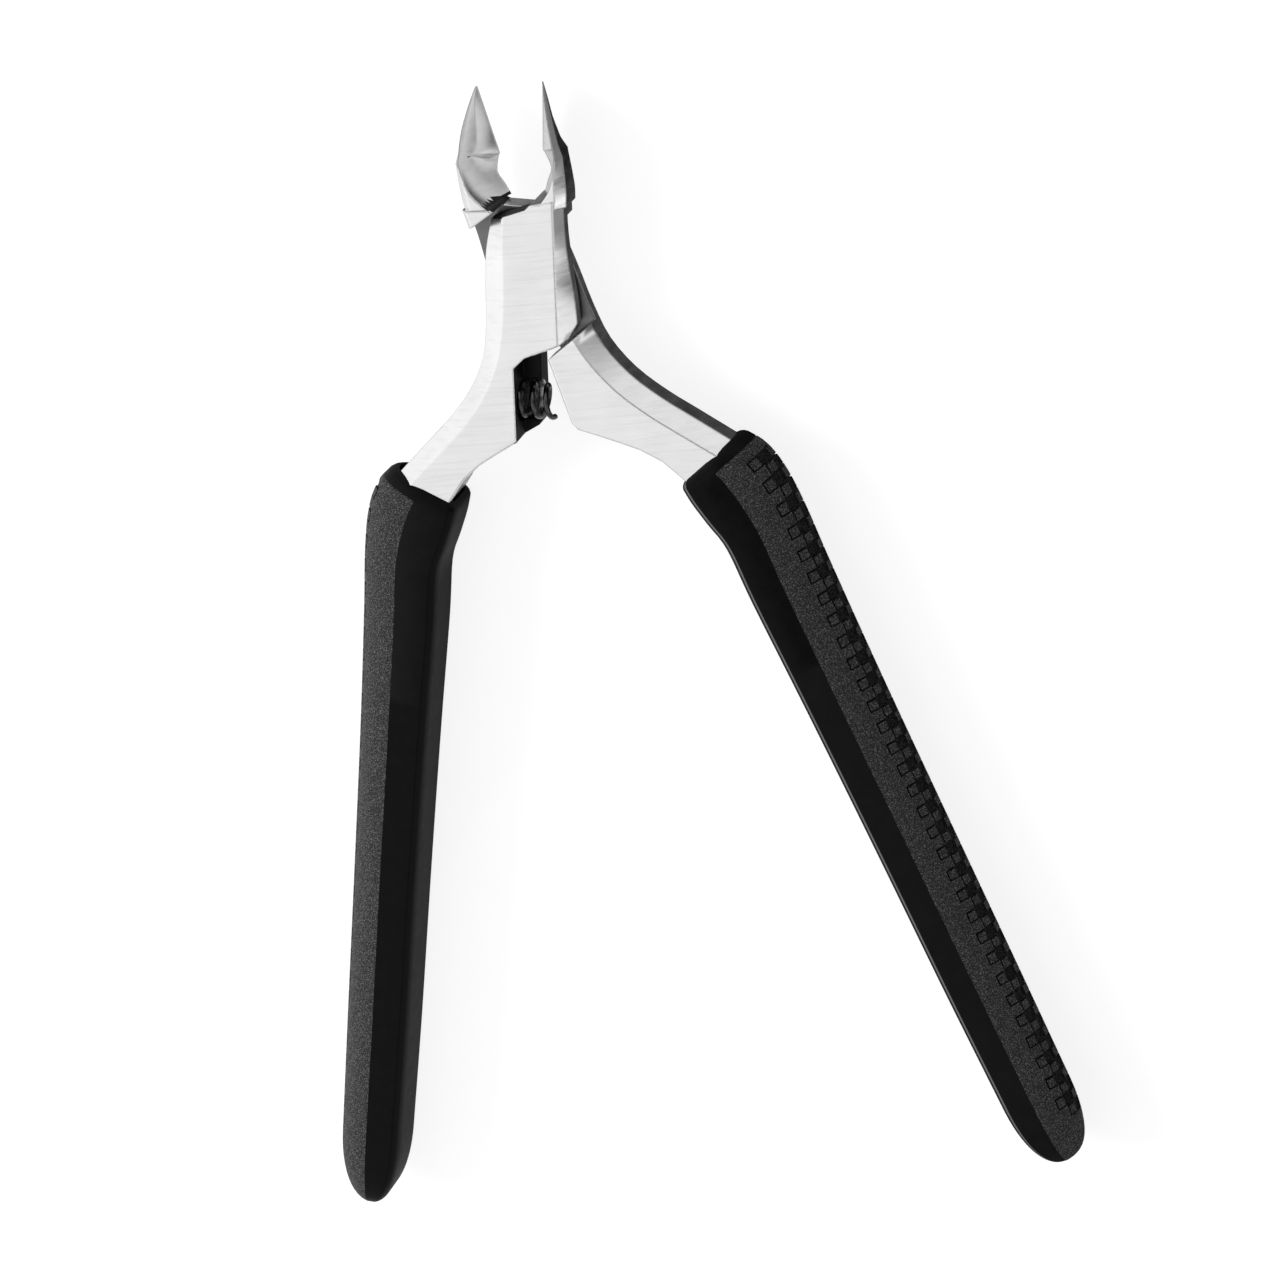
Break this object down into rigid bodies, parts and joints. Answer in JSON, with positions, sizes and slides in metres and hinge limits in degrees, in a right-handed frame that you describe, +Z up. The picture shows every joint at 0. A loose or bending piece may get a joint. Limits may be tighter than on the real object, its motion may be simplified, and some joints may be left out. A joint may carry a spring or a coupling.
{
  "type": "cuticle nipper",
  "caption": "Lap-jointed nail and cuticle nipper with short pointed jaws, a coil spring that holds it open and long smooth and grained grips.",
  "frame": {"origin": "under the middle of the tool's outline as it lies flat, on the surface it lies on", "axes": "+Y along the tool from the handle ends to the jaws, +Z up through the front face, +X to the right seen from the front"},
  "size_m": [0.082, 0.1202, 0.0072],
  "materials": {
    "steel": "satin, lightly brushed, with polished bevels",
    "spring_steel": "dark drawn wire",
    "smooth_grip": "smooth satin black",
    "grained_grip": "matt black, finely grained, with rows of small raised squares"
  },
  "bodies": {
    "front_half": {"front_lever": "steel", "pivot_screw": "steel", "return_spring": "spring_steel", "left_grip_shell": "smooth_grip", "left_grip_overlay": "grained_grip"},
    "rear_half": {"rear_lever": "steel", "right_grip_shell": "smooth_grip", "right_grip_overlay": "grained_grip"}
  },
  "joints": [
    {"name": "pivot_hinge", "type": "hinge", "parent": "front_half", "child": "rear_half", "pos_m": [0, 0.03943, 0.0036], "axis": [0, 0, -1], "range_deg": [0, 18.3], "stiffness_Nm_per_rad": 0.2, "springref_deg": -8.59, "deforming": ["return_spring"]}
  ]
}
